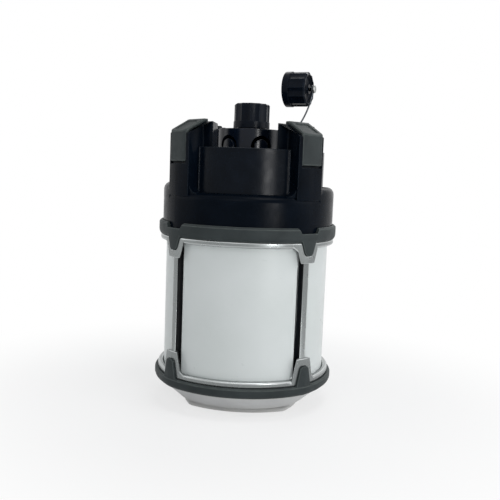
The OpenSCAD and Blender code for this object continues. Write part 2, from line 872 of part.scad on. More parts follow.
// Black crown moulding: skirt with rounded low walls, ledge, four towers and the inner deck
module crown_housing() {
    skirt = [[seat_hw, z_cage_top], [seat_hw, z_bumper_top], [crown_hw, z_bumper_top]];
    color("dimgray")
        difference() {
            union() {
                difference() {
                    turned(concat(skirt, rounded_edge(z_low_wall)));
                    layer(crown_in_hw, z_cage_top - 1, z_ledge - z_cage_top + 1);
                    cylinder(r = block_r - crown_wall / 2, h = span);
                }
                side_lips();
                tower_fillets();
                intersection() {
                    ring(crown_hw, crown_in_hw, z_bumper_top - notch_h, notch_h + 1);
                    notches(0);
                }
                difference() {
                    translate([0, 0, z_ledge])
                        linear_extrude(z_tower - z_ledge)
                            tower_plan(0);
                    tower_top_cut();
                    pad_pockets();
                }
                translate([0, 0, z_deck - crown_wall])
                    linear_extrude(crown_wall)
                        intersection() {
                            circle(r = block_r);
                            union() {
                                square([channel_w + 1, reach], center = true);
                                square([reach, channel_w + 1], center = true);
                            }
                        }
                each_boss()
                    translate([0, 0, z_cage_top + plate_t])
                        cylinder(d = boss_d, h = z_ledge - z_cage_top);
            }
            translate([0, 0, z_ledge - 1])
                linear_extrude(z_pad_shoulder - pad_t - crown_wall - z_ledge)
                    difference() {
                        tower_plan(crown_wall);
                        each_boss()
                            circle(d = boss_d);
                    }
            each_boss()
                translate([0, 0, z_cage_top])
                    cylinder(d = screw_d + 2 * seat_gap, h = plate_t + crown_screw_bite + crown_screw_room);
            cylinder(d = neck_bore, h = span);
            translate([side_port_x, 0, 0])
                cylinder(d = neck_bore, h = span);
            translate([anchor_x, 0, z_anchor])
                rotate([-90, 0, 0])
                    cylinder(d = screw_d + 2 * seat_gap, h = channel_w / 2 + anchor_screw_bite + 1);
            translate([0, 0, button_z])
                rotate([-90, 0, 0])
                    cylinder(d = button_d + 2 * fit_gap, h = reach);
            turret_screw_holes();
        }
}

// Curved black wall panel that stands on the ledge between two towers
module panel(turn, gap_angle) {
    half = gap_angle / 2 - asin(fit_gap / panel_in_r);
    rib_angle = 1.3;
    rib_in_r = panel_r - panel_t / 5;
    rotate([0, 0, turn])
        translate([0, 0, z_low_wall])
            linear_extrude(panel_h)
                union() {
                    sector_ring(panel_r, panel_in_r, -half, half);
                    sector_ring(panel_r + panel_rib_h, rib_in_r, half - rib_angle, half);
                    sector_ring(panel_r + panel_rib_h, rib_in_r, -half, rib_angle - half);
                }
}

// Part of a flat ring between two angles, counted from the front
module sector_ring(outer_r, inner_r, from, to) {
    intersection() {
        difference() {
            circle(r = outer_r);
            circle(r = inner_r);
        }
        polygon([[0, 0], reach * [sin(from), -cos(from)], reach * [sin((from + to) / 2), -cos((from + to) / 2)],
            reach * [sin(to), -cos(to)]]);
    }
}

module panel_front() color("dimgray") panel(0, front_gap_angle);
module panel_right() color("dimgray") panel(90, side_gap_angle);
module panel_rear() color("dimgray") panel(180, front_gap_angle);
module panel_left() color("dimgray") panel(270, side_gap_angle);

module each_turret_screw() {
    for (turn = [0 : 120 : 240])
        rotate([0, 0, turret_turn + turn + 180 / arch_count])
            translate([turret_screw_r, 0, z_deck])
                children();
}

module turret_screw_holes() {
    each_turret_screw()
        translate([0, 0, -crown_wall - 1])
            cylinder(d = screw_d + 2 * seat_gap, h = crown_wall + 2);
}

// Half section of the turret: outer wall, roof, flange, drum and the middle port's neck
module turret_section() {
    neck_r = neck_d / 2;
    difference() {
        union() {
            square([turret_r, turret_h]);
            square([neck_r, turret_h + neck_rise]);
        }
        translate([drum_r, turret_flange_h])
            square([turret_r - turret_wall - drum_r, turret_h - turret_wall - turret_flange_h]);
        translate([neck_r, -1])
            square([drum_r - turret_wall - neck_r, turret_h - turret_wall + 1]);
        translate([-1, -1])
            square([neck_bore / 2 + 1, span]);
    }
}

// Arch that stands on the turret's flange, drawn flat
module arch(width) {
    spring_h = turret_h - arch_drop - arch_w / 2;
    translate([-width / 2, turret_flange_h])
        square([width, spring_h - turret_flange_h]);
    translate([0, spring_h])
        circle(d = width);
}

// Turret: a ring wall with arched slots and their tongues round the middle port's neck
module turret() {
    color("dimgray")
        difference() {
            translate([0, 0, z_deck])
                difference() {
                    rotate([0, 0, turret_turn])
                        rotate_extrude()
                            turret_section();
                    for (turn = [0 : 360 / arch_count : 359])
                        rotate([0, 0, turret_turn + turn])
                            translate([0, -drum_r - turret_wall, 0])
                                rotate([90, 0, 0])
                                    linear_extrude(reach)
                                        difference() {
                                            arch(arch_w);
                                            arch(arch_w - 2 * arch_slot_w);
                                        }
                }
            each_turret_screw()
                translate([0, 0, -1])
                    cylinder(d = screw_d + 2 * fit_gap, h = turret_flange_h + 2);
        }
}

// Screws that hold the turret's flange on the deck
module turret_screws() {
    color("silver")
        each_turret_screw() {
            translate([0, 0, -crown_wall])
                cylinder(d = screw_d, h = crown_wall + turret_flange_h);
            translate([0, 0, turret_flange_h])
                cylinder(d = screw_head_d, h = screw_head_d / 3);
        }
}

// Metal charging socket at the bottom of a port neck
module socket() {
    difference() {
        translate([0, 0, z_deck - crown_wall])
            cylinder(d = neck_bore - 2 * seat_gap, h = crown_wall + socket_h);
        translate([0, 0, z_deck - crown_wall + 1])
            difference() {
                cylinder(d = neck_bore / 2, h = span);
                cylinder(d = neck_bore / 6, h = crown_wall + socket_h - 2);
            }
    }
}

module port_socket() color("goldenrod") socket();
module side_socket() color("goldenrod") translate([side_port_x, 0, 0]) socket();

// Open port neck on the deck's right arm
module side_neck() {
    flange_w = 1.5;
    flange_h = 1.6;
    color("dimgray")
        translate([side_port_x, 0, z_deck])
            difference() {
                union() {
                    cylinder(d = neck_d, h = side_neck_h);
                    cylinder(d = neck_d + 2 * flange_w, h = flange_h);
                }
                translate([0, 0, -1])
                    cylinder(d = neck_bore, h = span);
            }
}

// Faceted screw cap standing on its mouth, with a dished top round a middle boss
module fluted_cap(rivet_hole) {
    edge = 1.6;
    r = cap_grip_d / 2;
    difference() {
        union() {
            intersection() {
                cylinder(d = cap_grip_d, h = cap_h, $fn = cap_facets);
                rotate_extrude()
                    polygon([[0, 0], [r, 0], [r, cap_h - edge], [r - edge, cap_h], [0, cap_h]]);
            }
            cylinder(d = cap_d, h = cap_rim_h);
        }
        translate([0, 0, -1])
            cylinder(d = cap_bore, h = cap_room + 1);
        translate([0, 0, cap_h - cap_dish_h])
            difference() {
                cylinder(d = cap_dish_d, h = cap_h);
                cylinder(d = cap_boss_d, h = cap_h);
            }
        if (rivet_hole)
            cylinder(d = rivet_d + 2 * seat_gap, h = span);
    }
}

module seal_ring() {
    translate([0, 0, cap_seal_z])
        difference() {
            cylinder(d = cap_bore - 2 * seat_gap, h = seal_t);
            translate([0, 0, -1])
                cylinder(d = neck_bore - 2, h = seal_t + 2);
        }
}

// Screw cap on the middle port and the rubber seal ring that it presses on the neck
module port_cap() color("dimgray") translate([0, 0, z_cap]) fluted_cap(false);
module cap_seal() color("dimgrey") translate([0, 0, z_cap]) seal_ring();

// Puts a piece drawn on a standing cap where the wire holds the loose cap
module on_wire() {
    translate([wire_top.x, tether_y, z_rivet])
        rotate([0, 0, -loose_cap_turn])
            rotate([0, 90, 0])
                translate([0, 0, -cap_h - rivet_stand])
                    children();
}

module loose_cap() color("dimgray") on_wire() fluted_cap(true);
module loose_seal() {
    color("dimgrey")
        on_wire()
            translate([0, 0, seat_gap])
                seal_ring();
}

// Rivet through the loose cap's boss and the wire's upper eye
module loose_rivet() {
    flange_h = 0.8;
    head_d = 2 * rivet_d;
    head_z = cap_h + rivet_stand + wire_d / 2 + fit_gap;
    color("silver")
        on_wire() {
            translate([0, 0, cap_room - flange_h])
                cylinder(d = head_d, h = flange_h);
            translate([0, 0, cap_room - flange_h])
                cylinder(d = rivet_d, h = head_z - cap_room + flange_h);
            translate([0, 0, head_z])
                intersection() {
                    cylinder(d = head_d, h = head_d);
                    translate([0, 0, 1.6 - head_d])
                        sphere(r = head_d);
                }
        }
}

module eye(radius) {
    rotate_extrude()
        translate([radius, 0])
            circle(d = wire_d);
}

// Stiff steel tether: an eye round the anchor screw, a long bend and an eye round the rivet
module tether_wire() {
    color("grey")
        union() {
            translate([anchor_x, tether_y, z_anchor])
                rotate([90, 0, 0])
                    eye(anchor_eye_r);
            translate([bend_centre.x, tether_y, bend_centre.y])
                rotate([90, 0, 0])
                    rotate([0, 0, -wire_foot_lean])
                        rotate_extrude(angle = wire_foot_lean - wire_top_lean)
                            translate([wire_bend_r, 0])
                                circle(d = wire_d);
            translate([wire_top.x, tether_y, z_rivet])
                rotate([0, 0, -loose_cap_turn])
                    rotate([0, 90, 0])
                        eye(eye_r);
        }
}

// Screw that pins the tether's lower eye to the rear right tower
module tether_screw() {
    head_y = tether_y - wire_d / 2 - fit_gap;
    head_h = screw_head_d / 3;
    color("silver")
        translate([anchor_x, 0, z_anchor])
            rotate([-90, 0, 0])
                union() {
                    translate([0, 0, head_y - head_h])
                        cylinder(d = screw_head_d + 1, h = head_h);
                    translate([0, 0, head_y])
                        cylinder(d = screw_d, h = channel_w / 2 - head_y + anchor_screw_bite);
                }
}

// Switch that stands on the driver board behind the button
module power_switch() {
    w = 10;
    color("grey")
        union() {
            translate([-w / 2, switch_y - 8, z_board + board_t])
                cube([w, 8, button_z + w / 2 - z_board - board_t]);
            translate([0, switch_y - 1, button_z])
                rotate([-90, 0, 0])
                    cylinder(d = 4, h = button_end_y - switch_y + 1 - button_travel - fit_gap);
        }
}

// Power button in the rear low wall, held by its flange inside
module power_button() {
    color("red")
        translate([0, 0, button_z])
            rotate([-90, 0, 0])
                rotate_extrude()
                    polygon([[0, button_end_y], [button_flange_d / 2, button_end_y],
                        [button_flange_d / 2, button_end_y + button_flange_t],
                        [button_d / 2, button_end_y + button_flange_t], [button_d / 2, button_face_y - 0.8],
                        [button_d / 2 - 0.8, button_face_y], [0, button_face_y]]);
}

base_cover();
foot_pads();
base_screws();
lower_bumper();
cage();
diffuser_front();
diffuser_right();
diffuser_rear();
diffuser_left();
chassis();
light_core();
lamp_board_front();
lamp_board_right();
lamp_board_rear();
lamp_board_left();
battery_cells();
cell_holder_lower();
cell_holder_upper();
crown_floor();
driver_board();
crown_screws();
upper_bumper();
crown_housing();
panel_front();
panel_right();
panel_rear();
panel_left();
pad_front_right();
pad_rear_right();
pad_rear_left();
pad_front_left();
turret();
turret_screws();
port_socket();
port_cap();
cap_seal();
side_neck();
side_socket();
tether_wire();
tether_screw();
loose_cap();
loose_seal();
loose_rivet();
power_switch();
power_button();
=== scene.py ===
import json
import math

import bmesh
import bpy
from mathutils import Matrix, Vector


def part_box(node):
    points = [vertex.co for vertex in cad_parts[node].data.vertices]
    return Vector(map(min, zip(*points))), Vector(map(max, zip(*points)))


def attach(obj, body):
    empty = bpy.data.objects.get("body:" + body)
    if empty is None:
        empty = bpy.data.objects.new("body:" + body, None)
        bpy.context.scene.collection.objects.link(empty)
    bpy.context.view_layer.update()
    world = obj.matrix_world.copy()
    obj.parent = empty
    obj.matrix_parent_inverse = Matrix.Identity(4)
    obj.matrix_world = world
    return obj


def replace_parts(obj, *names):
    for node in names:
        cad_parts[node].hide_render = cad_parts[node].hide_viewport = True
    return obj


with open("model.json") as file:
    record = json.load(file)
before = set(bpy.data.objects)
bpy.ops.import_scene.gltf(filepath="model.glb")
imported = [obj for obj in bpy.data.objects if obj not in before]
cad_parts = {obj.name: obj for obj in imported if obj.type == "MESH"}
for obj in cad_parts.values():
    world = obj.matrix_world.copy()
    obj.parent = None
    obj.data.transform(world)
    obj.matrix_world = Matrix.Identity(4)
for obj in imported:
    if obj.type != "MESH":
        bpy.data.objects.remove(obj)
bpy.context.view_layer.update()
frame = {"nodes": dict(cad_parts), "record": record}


# Camera: a lens of about 50 mm, half a metre in front of the lantern, a little to its right and
# above the middle of the body. It looks down by six degrees and leans by two.
CAMERA_AT = Vector((0.04462, -0.49746, 0.16220))
CAMERA_TURN = math.radians(4.867)
CAMERA_DIP = math.radians(6.33)
CAMERA_LEAN = math.radians(2.18)
SENSOR_MM = 36
LENS_MM = 50.33
NEAREST = 0.01
QUARTER_TURN = math.radians(90)

lens = bpy.data.cameras.new("photo_camera")
lens.sensor_width = SENSOR_MM
lens.lens = LENS_MM
lens.clip_start = NEAREST
camera = bpy.data.objects.new("photo_camera", lens)
bpy.context.scene.collection.objects.link(camera)
camera.matrix_world = (
    Matrix.Translation(CAMERA_AT)
    @ Matrix.Rotation(CAMERA_TURN, 4, "Z")
    @ Matrix.Rotation(QUARTER_TURN - CAMERA_DIP, 4, "X")
    @ Matrix.Rotation(CAMERA_LEAN, 4, "Z")
)
bpy.context.scene.camera = camera
bpy.context.scene.view_settings.view_transform = "Standard"


# Studio: a white sweep that the eye and the reflections see as plain white, with the lantern's
# soft shadow on it. Two broad boxes light the sides, a small one the front right, and three more
# the front, the top and the rear.
def linear(colour):
    """The linear red, green, blue and alpha of an sRGB hex colour."""
    channels = [int(colour[i : i + 2], 16) / 255 for i in (1, 3, 5)]
    return [c / 12.92 if c <= 0.04045 else ((c + 0.055) / 1.055) ** 2.4 for c in channels] + [1.0]


def add(tree, kind, inputs=None, **settings):
    """Adds one node to a tree, sets it, and links or fills its inputs."""
    node = tree.nodes.new(kind)
    for name, value in settings.items():
        setattr(node, name, value)
    for name, value in (inputs or {}).items():
        if isinstance(value, bpy.types.NodeSocket):
            tree.links.new(value, node.inputs[name])
        else:
            node.inputs[name].default_value = value
    return node


def seen_directly(tree):
    """1 for what the camera, a mirror or a glass shows, and 0 for light that falls on the object."""
    path = add(tree, "ShaderNodeLightPath")
    mirrored = add(
        tree,
        "ShaderNodeMath",
        {0: path.outputs["Is Glossy Ray"], 1: path.outputs["Is Transmission Ray"]},
        operation="MAXIMUM",
    )
    both = add(
        tree,
        "ShaderNodeMath",
        {0: path.outputs["Is Camera Ray"], 1: mirrored.outputs[0]},
        operation="MAXIMUM",
    )
    return both.outputs[0]


SURROUND_STRENGTH = 0.28
WHITE_STRENGTH = 1.0
world = bpy.data.worlds.new("studio")
bpy.context.scene.world = world
world.use_nodes = True
room = world.node_tree
room.nodes.clear()
surround = add(room, "ShaderNodeBackground", {"Color": linear("#f4f6f8"), "Strength": SURROUND_STRENGTH})
backdrop = add(room, "ShaderNodeBackground", {"Color": linear("#ffffff"), "Strength": WHITE_STRENGTH})
shown = add(
    room,
    "ShaderNodeMixShader",
    {0: seen_directly(room), 1: surround.outputs[0], 2: backdrop.outputs[0]},
)
add(room, "ShaderNodeOutputWorld", {"Surface": shown.outputs[0]})

FLOOR_HALF = 3.0
SHADOW_SHARE = 0.32
SHADOW_REACH = (0.09, 0.28)
shape = bmesh.new()
bmesh.ops.create_grid(shape, x_segments=1, y_segments=1, size=FLOOR_HALF)
floor_mesh = bpy.data.meshes.new("floor")
shape.to_mesh(floor_mesh)
shape.free()
floor = bpy.data.objects.new("floor", floor_mesh)
bpy.context.scene.collection.objects.link(floor)
floor_paint = bpy.data.materials.new("white_paper_sweep")
floor_paint.use_nodes = True
paper = floor_paint.node_tree
paper.nodes.clear()
matt = add(paper, "ShaderNodeBsdfDiffuse", {"Color": linear("#eeeff0")})
white = add(paper, "ShaderNodeEmission", {"Color": linear("#ffffff"), "Strength": WHITE_STRENGTH})
floor_place = add(paper, "ShaderNodeTexCoord").outputs["Object"]
from_middle = add(paper, "ShaderNodeVectorMath", {0: floor_place}, operation="LENGTH")
fade = add(
    paper,
    "ShaderNodeMapRange",
    {
        "Value": from_middle.outputs["Value"],
        "From Min": SHADOW_REACH[0],
        "From Max": SHADOW_REACH[1],
        "To Min": SHADOW_SHARE,
        "To Max": 0.0,
    },
    interpolation_type="SMOOTHSTEP",
)
shaded = add(
    paper,
    "ShaderNodeMixShader",
    {0: fade.outputs["Result"], 1: white.outputs[0], 2: matt.outputs[0]},
)
shown = add(
    paper,
    "ShaderNodeMixShader",
    {0: seen_directly(paper), 1: matt.outputs[0], 2: shaded.outputs[0]},
)
add(paper, "ShaderNodeOutputMaterial", {"Surface": shown.outputs[0]})
floor_mesh.materials.append(floor_paint)

LAMP_AIM = Vector((0, 0, 0.11))
for name, azimuth, elevation, distance, size, watts in (
    ("key_box", 33, 4, 1.2, 0.25, 4.2),
    ("right_box", 82, 18, 1.3, 0.9, 5.1),
    ("left_box", -80, 18, 1.3, 0.9, 2.9),
    ("front_box", -12, 40, 1.3, 0.6, 2.0),
    ("top_box", 40, 70, 1.3, 0.45, 4.0),
    ("rear_box", 170, 40, 1.4, 0.9, 4.0),
):
    box_light = bpy.data.lights.new(name, "AREA")
    box_light.size = size
    box_light.energy = watts
    lamp = bpy.data.objects.new(name, box_light)
    turn = math.radians(azimuth)
    rise = math.radians(elevation)
    towards = Vector((math.sin(turn) * math.cos(rise), -math.cos(turn) * math.cos(rise), math.sin(rise)))
    lamp.location = LAMP_AIM + distance * towards
    lamp.rotation_euler = towards.to_track_quat("Z", "Y").to_euler()
    bpy.context.scene.collection.objects.link(lamp)


# Base tray: light grey ABS, moulded in one shot with a dull satin skin and softened edges. It is
# screwed up against the inner frame through four columns, and it is scuffed near the ground.
BASE_EDGE = 0.00055
CLOUD_SPAN = (0.3, 0.72)
RUB_MM = 7
NOISE_SPAN = (0.3, 0.7)
WEAR_AND_HIGHLIGHT_SPAN = (0.4, 0.65)
WEAR_AND_HIGHLIGHT_LIMITS = (0.35, 0.8)
SCUFF_SPAN = (0.001, 0.012)
DULL_SPREAD = 0.07
GRAIN_DEPTH = 0.0003
SAME_POINT = 0.000004
SLIVER = 0.000002
BEVEL_SLIVER = 0.000001
FLAT_WITHIN = math.radians(0.4)


def new_finish(name):
    """A fresh material: its tree, its surface shader and the piece's own coordinates."""
    finish = bpy.data.materials.new(name)
    finish.use_nodes = True
    tree = finish.node_tree
    tree.nodes.clear()
    skin = add(tree, "ShaderNodeBsdfPrincipled")
    add(tree, "ShaderNodeOutputMaterial", {"Surface": skin.outputs[0]})
    place = add(tree, "ShaderNodeTexCoord").outputs["Object"]
    return finish, tree, skin, place


def moulded(name, dark, light, rough, grit_mm, relief, cloud_mm=18, gloss=0.5, wear_and_highlight=None):
    """Moulded plastic or rubber: a cloudy colour, an eroded grain, uneven dullness, and edges mixed towards
    a second colour, partly wear and partly a painted highlight.
    """
    finish, tree, skin, place = new_finish(name)
    cloud = add(
        tree,
        "ShaderNodeTexNoise",
        {"Vector": place, "Scale": 1000 / cloud_mm, "Detail": 3, "Roughness": 0.55},
    )
    tint = add(tree, "ShaderNodeValToRGB", {"Fac": cloud.outputs["Fac"]})
    for stop, position, shade in zip(tint.color_ramp.elements, CLOUD_SPAN, (dark, light)):
        stop.position = position
        stop.color = linear(shade)
    rub = add(
        tree,
        "ShaderNodeTexNoise",
        {"Vector": place, "Scale": 1000 / RUB_MM, "Detail": 4, "Roughness": 0.6},
    )
    colour = tint.outputs["Color"]
    # Rounded edges and a band near the ground are mixed towards the second colour. Near the ground it is
    # scuffing. On the edges it is wear together with a painted highlight, where that colour is lighter.
    if wear_and_highlight:
        height = add(tree, "ShaderNodeSeparateXYZ", {"Vector": place})
        ground = add(
            tree,
            "ShaderNodeMapRange",
            {
                "Value": height.outputs["Z"],
                "From Min": SCUFF_SPAN[0],
                "From Max": SCUFF_SPAN[1],
                "To Min": 1.0,
                "To Max": 0.0,
            },
        )
        rounded = add(tree, "ShaderNodeAttribute", attribute_name="rounded")
        edge_or_ground = add(
            tree,
            "ShaderNodeMath",
            {0: rounded.outputs["Fac"], 1: ground.outputs["Result"]},
            operation="MAXIMUM",
        )
        patches = add(
            tree,
            "ShaderNodeMapRange",
            {
                "Value": rub.outputs["Fac"],
                "From Min": WEAR_AND_HIGHLIGHT_SPAN[0],
                "From Max": WEAR_AND_HIGHLIGHT_SPAN[1],
                "To Min": WEAR_AND_HIGHLIGHT_LIMITS[0],
                "To Max": WEAR_AND_HIGHLIGHT_LIMITS[1],
            },
        )
        wear_and_highlight_share = add(
            tree,
            "ShaderNodeMath",
            {0: edge_or_ground.outputs[0], 1: patches.outputs["Result"]},
            operation="MULTIPLY",
        )
        blend = add(
            tree,
            "ShaderNodeMix",
            {0: wear_and_highlight_share.outputs[0], 6: colour, 7: linear(wear_and_highlight)},
            data_type="RGBA",
        )
        colour = blend.outputs[2]
    tree.links.new(colour, skin.inputs["Base Color"])
    dull = add(
        tree,
        "ShaderNodeMapRange",
        {
            "Value": rub.outputs["Fac"],
            "From Min": NOISE_SPAN[0],
            "From Max": NOISE_SPAN[1],
            "To Min": rough - DULL_SPREAD,
            "To Max": rough + DULL_SPREAD,
        },
    )
    tree.links.new(dull.outputs["Result"], skin.inputs["Roughness"])
    grit = add(
        tree,
        "ShaderNodeTexNoise",
        {"Vector": place, "Scale": 1000 / grit_mm, "Detail": 2, "Roughness": 0.5},
    )
    grain = add(
        tree,
        "ShaderNodeBump",
        {"Height": grit.outputs["Fac"], "Strength": relief, "Distance": GRAIN_DEPTH},
    )
    tree.links.new(grain.outputs["Normal"], skin.inputs["Normal"])
    skin.inputs["Specular IOR Level"].default_value = gloss
    return finish


def joined(name, shape, finish, node):
    """Makes a shape a piece on a CAD node's body, with the given finish."""
    for face in shape.faces:
        face.smooth = True
    mesh = bpy.data.meshes.new(name)
    shape.to_mesh(mesh)
    shape.free()
    piece = bpy.data.objects.new(name, mesh)
    bpy.context.scene.collection.objects.link(piece)
    mesh.materials.append(finish)
    evened = piece.modifiers.new("evened", "WEIGHTED_NORMAL")
    evened.keep_sharp = True
    bodies = frame["record"]["behaviour"]["bodies"]
    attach(piece, next(body for body in bodies if node in bodies[body]))
    return piece


def round_edges(shape, radius, limit=28, segments=3, chosen=lambda edge: edge.is_convex):
    """Rounds the chosen edges, or all outward ones, that turn by more than a limit in degrees."""
    sharp = [
        edge
        for edge in shape.edges
        if len(edge.link_faces) == 2 and edge.calc_face_angle(0) > math.radians(limit) and chosen(edge)
    ]
    rounded = shape.faces.layers.float.get("rounded") or shape.faces.layers.float.new("rounded")
    made = bmesh.ops.bevel(
        shape,
        geom=sharp,
        offset=radius,
        offset_type="OFFSET",
        affect="EDGES",
        segments=segments,
        profile=0.5,
        material=-1,
        clamp_overlap=False,
        loop_slide=True,
    )
    for face in made["faces"]:
        face[rounded] = 1.0
    bmesh.ops.dissolve_degenerate(shape, edges=shape.edges, dist=BEVEL_SLIVER)


def merged_copy(node):
    """A copy of a CAD node's triangles, merged into whole faces."""
    shape = bmesh.new()
    shape.from_mesh(frame["nodes"][node].data)
    bmesh.ops.remove_doubles(shape, verts=shape.verts, dist=SAME_POINT)
    bmesh.ops.dissolve_degenerate(shape, edges=shape.edges, dist=SLIVER)
    bmesh.ops.dissolve_limit(shape, angle_limit=FLAT_WITHIN, verts=shape.verts, edges=shape.edges)
    return shape


def softened(node, radius, finish, limit=28):
    """A copy of a CAD node with its sharp outer edges rounded, as a moulding has them."""
    shape = merged_copy(node)
    round_edges(shape, radius, limit)
    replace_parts(joined(node + "_soft", shape, finish, node), node)


base_abs = moulded(
    "light_grey_abs", "#b0b1b2", "#bcbdbd", rough=0.46, grit_mm=0.5, relief=0.05, wear_and_highlight="#b4b3af"
)
softened("base_cover", BASE_EDGE, base_abs)


# Feet: four soft rubber discs, die-cut and glued over the base screws. The rubber is the same
# dark grey as the bumpers, with a fine matt grain that dulls every highlight.
def dress(finish, *names):
    """Gives CAD nodes that keep their shape a finish."""
    for name in names:
        slots = frame["nodes"][name].data.materials
        slots.clear()
        slots.append(finish)


# Its rounded edges are mixed towards a lighter grey, partly wear and partly a painted highlight.
grey_rubber = moulded(
    "dark_grey_rubber", "#2b3031", "#353b3c", rough=0.55, grit_mm=0.4, relief=0.1, gloss=0.12, wear_and_highlight="#4d5352"
)
dress(grey_rubber, "foot_pads")


# Case screws: zinc-plated steel, rolled and then plated, with a faint cloud in the plating. They
# pull the base, the crown and the turret together from inside.
TINT_SPAN = (0.35, 0.65)
POLISH_SPREAD = (0.05, 0.08)


def metal(name, dark, light, rough, cloud_mm):
    """Bare or plated metal: a cloudy tint and uneven polish."""
    finish, tree, skin, place = new_finish(name)
    cloud = add(tree, "ShaderNodeTexNoise", {"Vector": place, "Scale": 1000 / cloud_mm, "Detail": 3})
    tint = add(tree, "ShaderNodeValToRGB", {"Fac": cloud.outputs["Fac"]})
    for stop, position, shade in zip(tint.color_ramp.elements, TINT_SPAN, (dark, light)):
        stop.position = position
        stop.color = linear(shade)
    tree.links.new(tint.outputs["Color"], skin.inputs["Base Color"])
    dull = add(
        tree,
        "ShaderNodeMapRange",
        {
            "Value": cloud.outputs["Fac"],
            "From Min": NOISE_SPAN[0],
            "From Max": NOISE_SPAN[1],
            "To Min": rough - POLISH_SPREAD[0],
            "To Max": rough + POLISH_SPREAD[1],
        },
    )
    tree.links.new(dull.outputs["Result"], skin.inputs["Roughness"])
    skin.inputs["Metallic"].default_value = 1.0
    return finish


zinc_steel = metal("zinc_plated_steel", "#8f9295", "#a9acae", rough=0.3, cloud_mm=1.5)
dress(zinc_steel, "base_screws", "crown_screws", "turret_screws")


# Bumpers: two rings of the same grey rubber, moulded with a claw over each corner of the cage
# and stretched on. Their edges are rounded, so they catch a thin soft light, and a lighter grey is
# painted on them, partly wear and partly a painted highlight.
BUMPER_EDGE = 0.00045
softened("lower_bumper", BUMPER_EDGE, grey_rubber)
softened("upper_bumper", BUMPER_EDGE, grey_rubber)


# Cage: ABS in silver paint, sprayed over rounded mouldings. Fine flake gives it a metal's bright
# and dark bands, and the lacquer softens them. The flake is drawn coarse enough to show.
FLAKE_MM = 0.35
HAZE_MM = 9
EDGE_HIGHLIGHT_SHARE = 0.7
LACQUER_LIMITS = (0.25, 0.33)
SILVER_METALLIC = 0.85
silver_paint, silver_tree, silver_skin, silver_place = new_finish("silver_paint")
flake = add(silver_tree, "ShaderNodeTexVoronoi", {"Vector": silver_place, "Scale": 1000 / FLAKE_MM})
glint = add(silver_tree, "ShaderNodeValToRGB", {"Fac": flake.outputs["Color"]})
glint.color_ramp.elements[0].color = linear("#767a7a")
glint.color_ramp.elements[1].color = linear("#898d8d")
# Painted highlight: the rounded edges are painted a lighter silver, so the beads look lit along their edges.
edge = add(silver_tree, "ShaderNodeAttribute", attribute_name="rounded")
edge_highlight_mix = add(silver_tree, "ShaderNodeMapRange", {"Value": edge.outputs["Fac"], "To Max": EDGE_HIGHLIGHT_SHARE})
painted_edge_highlight = add(
    silver_tree,
    "ShaderNodeMix",
    {0: edge_highlight_mix.outputs["Result"], 6: glint.outputs["Color"], 7: linear("#b4b8b8")},
    data_type="RGBA",
)
silver_tree.links.new(painted_edge_highlight.outputs[2], silver_skin.inputs["Base Color"])
haze = add(silver_tree, "ShaderNodeTexNoise", {"Vector": silver_place, "Scale": 1000 / HAZE_MM, "Detail": 4})
lacquer = add(
    silver_tree,
    "ShaderNodeMapRange",
    {
        "Value": haze.outputs["Fac"],
        "From Min": NOISE_SPAN[0],
        "From Max": NOISE_SPAN[1],
        "To Min": LACQUER_LIMITS[0],
        "To Max": LACQUER_LIMITS[1],
    },
)
silver_tree.links.new(lacquer.outputs["Result"], silver_skin.inputs["Roughness"])
silver_skin.inputs["Metallic"].default_value = SILVER_METALLIC

BAND_HEIGHT = 0.004
BAND_RADIUS = 0.0013
BORDER_RADIUS = 0.0004
LEVEL_WITHIN = 0.00002
low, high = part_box("cage")
window_rims = (low.z + BAND_HEIGHT, high.z - BAND_HEIGHT)


def at_window(edge):
    """Whether an edge lies along the rim of a band, at a window."""
    return any(all(abs(vert.co.z - rim) < LEVEL_WITHIN for vert in edge.verts) for rim in window_rims)


shape = merged_copy("cage")
round_edges(shape, BAND_RADIUS, limit=60, segments=5, chosen=at_window)
round_edges(shape, BORDER_RADIUS)
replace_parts(joined("cage_soft", shape, silver_paint, "cage"), "cage")


# Light panels: four bowed sheets of opal acrylic, cool white, moulded with a half-gloss skin and
# rounded edges. Each drops in behind the cage and is held between the chassis plates.
opal = moulded(
    "opal_acrylic", "#c4cac9", "#cbd0d0", rough=0.34, grit_mm=2.0, relief=0.0, cloud_mm=45, gloss=0.4
)
ARC_PAST_AXIS = 0.0076
SHEET_STEPS = 36
SHEET_EDGE = 0.0011
low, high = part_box("diffuser_front")
outer_r = ARC_PAST_AXIS - low.y
inner_r = math.hypot(ARC_PAST_AXIS - high.y, high.x)
half_turn = math.asin(high.x / outer_r)
middle = Vector((0, ARC_PAST_AXIS - (outer_r + inner_r) / 2, (low.z + high.z) / 2))
section = (
    Matrix.Translation(middle)
    @ Matrix.Rotation(QUARTER_TURN, 4, "Y")
    @ Matrix.Diagonal((high.z - low.z, outer_r - inner_r, 1, 1))
)
arc_centre = Vector((0, ARC_PAST_AXIS, 0))
for turn, side in enumerate(("front", "right", "rear", "left")):
    shape = bmesh.new()
    bmesh.ops.create_grid(shape, x_segments=1, y_segments=1, size=0.5, matrix=section)
    bmesh.ops.rotate(shape, cent=arc_centre, matrix=Matrix.Rotation(-half_turn, 3, "Z"), verts=shape.verts)
    bmesh.ops.spin(
        shape,
        geom=shape.verts[:] + shape.edges[:] + shape.faces[:],
        cent=arc_centre,
        axis=(0, 0, 1),
        angle=2 * half_turn,
        steps=SHEET_STEPS,
    )
    bmesh.ops.holes_fill(shape, edges=shape.edges, sides=4)
    bmesh.ops.recalc_face_normals(shape, faces=shape.faces)
    round_edges(shape, SHEET_EDGE, limit=40)
    to_side = Matrix.Rotation(QUARTER_TURN * turn, 3, "Z")
    bmesh.ops.rotate(shape, cent=(0, 0, 0), matrix=to_side, verts=shape.verts)
    node = "diffuser_" + side
    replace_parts(joined(node + "_sheet", shape, opal, node), node)


